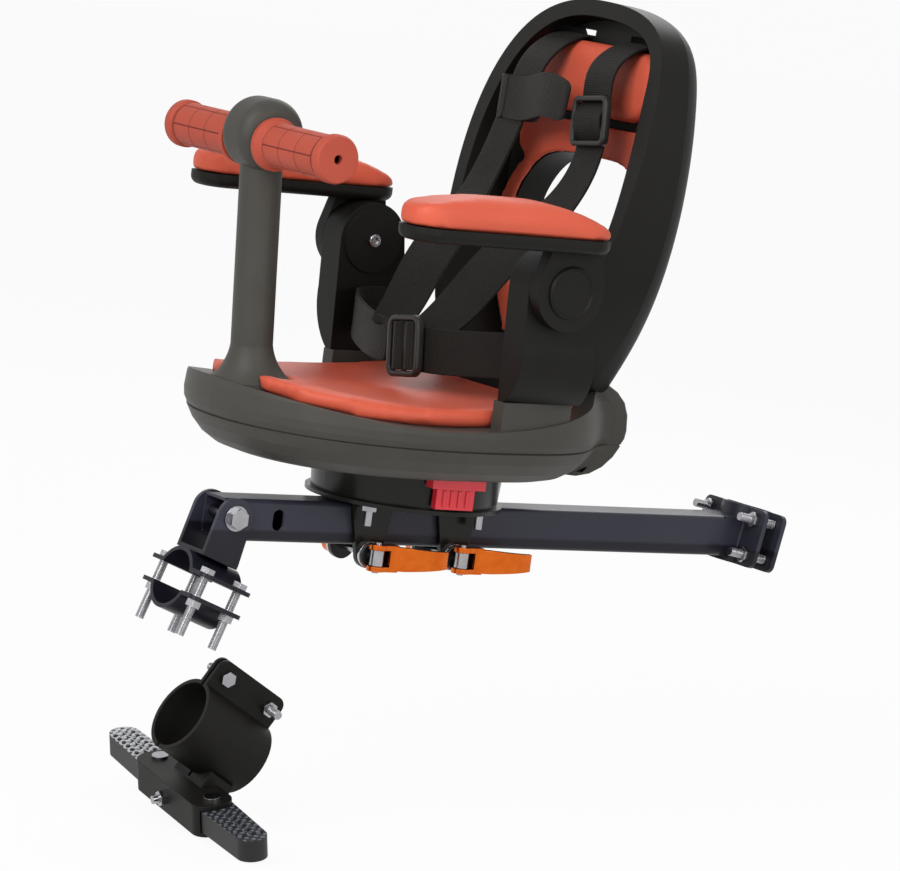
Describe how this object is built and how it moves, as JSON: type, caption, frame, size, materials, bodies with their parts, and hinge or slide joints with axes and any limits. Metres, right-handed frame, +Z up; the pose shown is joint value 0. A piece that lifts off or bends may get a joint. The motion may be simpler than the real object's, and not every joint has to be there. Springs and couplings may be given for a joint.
{
  "type": "child bike seat",
  "caption": "Front child bike seat: padded seat with backrest, armrests, harness and a small handlebar on a sliding, turning base along a square beam, with a folding footrest.",
  "frame": {"origin": "on the seat-post clamp's axis at the height of the beam's axis", "axes": "+X forward along the beam, +Y to the child's left, +Z up"},
  "size_m": [0.518, 0.324, 0.6057],
  "materials": {
    "beam_paint": "satin",
    "zinc": "bright zinc",
    "base_plastic": "semi-gloss",
    "orange_alloy": "anodised",
    "red_plastic": "gloss",
    "grey_plastic": "fine grain",
    "coral_foam": "soft satin",
    "grip_rubber": "matte",
    "black_plastic": "satin",
    "bar_steel": "satin",
    "webbing": "woven",
    "buckle_plastic": "satin"
  },
  "bodies": {
    "frame": {"beam_tube": "beam_paint", "seat_post_fixed_jaw": "beam_paint", "seat_post_loose_jaw": "beam_paint", "seat_post_bolts": "zinc", "seat_post_nuts": "zinc", "footrest_clamp_left": "black_plastic", "footrest_clamp_right": "black_plastic", "footrest_bolts": "zinc", "footrest_nuts": "zinc", "footrest_carrier": "black_plastic", "pedal_pins": "zinc"},
    "front_clamp": {"pivot_clevis": "beam_paint", "top_tube_upper_jaw": "beam_paint", "top_tube_lower_jaw": "beam_paint", "top_tube_bolts": "zinc", "top_tube_nuts": "zinc", "pivot_bolt": "zinc", "pivot_nut": "zinc"},
    "carriage": {"front_saddle": "base_plastic", "rear_saddle": "base_plastic", "turntable_disc": "base_plastic", "drum_cup": "base_plastic", "drum_bolts": "zinc", "drum_nuts": "zinc", "qr_skewers": "zinc", "qr_cup_washers": "base_plastic", "qr_end_nuts": "orange_alloy"},
    "lever_front": {"qr_lever_front": "orange_alloy"},
    "lever_rear": {"qr_lever_rear": "orange_alloy"},
    "latch": {"release_latch": "red_plastic"},
    "seat": {"seat_lower_shell": "grey_plastic", "seat_upper_shell": "grey_plastic", "seat_cushion": "coral_foam", "front_post": "grey_plastic", "handlebar_tube": "bar_steel", "grip_left": "grip_rubber", "grip_right": "grip_rubber", "armrest_post_left": "black_plastic", "armrest_post_right": "black_plastic", "hub_pin_left": "bar_steel", "hub_pin_right": "bar_steel", "backrest_shell": "black_plastic", "back_liner": "coral_foam", "head_pad": "coral_foam", "shoulder_strap_left": "webbing", "shoulder_strap_right": "webbing", "chest_strap": "webbing", "waist_belt_left": "webbing", "waist_belt_right": "webbing", "strap_adjuster": "buckle_plastic", "waist_buckle": "buckle_plastic"},
    "armrest_left": {"armrest_arm_left": "black_plastic", "armrest_pad_left": "coral_foam"},
    "armrest_right": {"armrest_arm_right": "black_plastic", "armrest_pad_right": "coral_foam"},
    "pedal_left": {"pedal_left": "black_plastic"},
    "pedal_right": {"pedal_right": "black_plastic"}
  },
  "joints": [
    {"name": "clamp_tilt", "type": "hinge", "parent": "frame", "child": "front_clamp", "pos_m": [0.453, 0, 0.002], "axis": [0, 1, 0], "range_deg": [-30, 30]},
    {"name": "base_slide", "type": "slide", "parent": "frame", "child": "carriage", "axis": [1, 0, 0], "range_m": [-0.05, 0.04]},
    {"name": "lever_front_swing", "type": "hinge", "parent": "carriage", "child": "lever_front", "pos_m": [0.341, 0.031, -0.0205], "axis": [0, 0, -1], "range_deg": [0, 110]},
    {"name": "lever_rear_swing", "type": "hinge", "parent": "carriage", "child": "lever_rear", "pos_m": [0.269, 0.031, -0.0205], "axis": [0, 0, -1], "range_deg": [0, 110]},
    {"name": "latch_pull", "type": "slide", "parent": "carriage", "child": "latch", "axis": [0.0872, 0.9962, 0], "range_m": [0, 0.006], "stiffness_N_per_m": 400},
    {"name": "seat_turn", "type": "hinge", "parent": "carriage", "child": "seat", "pos_m": [0.305, 0, 0.03], "axis": [0, 0, 1], "range_deg": [0, 40]},
    {"name": "armrest_left_lift", "type": "hinge", "parent": "seat", "child": "armrest_left", "pos_m": [0.287, 0.1415, 0.189], "axis": [0, -1, 0], "range_deg": [0, 80]},
    {"name": "armrest_right_lift", "type": "hinge", "parent": "seat", "child": "armrest_right", "pos_m": [0.287, -0.1415, 0.189], "axis": [0, -1, 0], "range_deg": [0, 80]},
    {"name": "pedal_left_fold", "type": "hinge", "parent": "frame", "child": "pedal_left", "pos_m": [0.45319, 0.0375, -0.20357], "axis": [0.2277, 0.0891, 0.9696], "range_deg": [0, 80]},
    {"name": "pedal_right_fold", "type": "hinge", "parent": "frame", "child": "pedal_right", "pos_m": [0.44794, -0.04786, -0.19449], "axis": [-0.2277, -0.0891, -0.9696], "range_deg": [0, 80]}
  ]
}
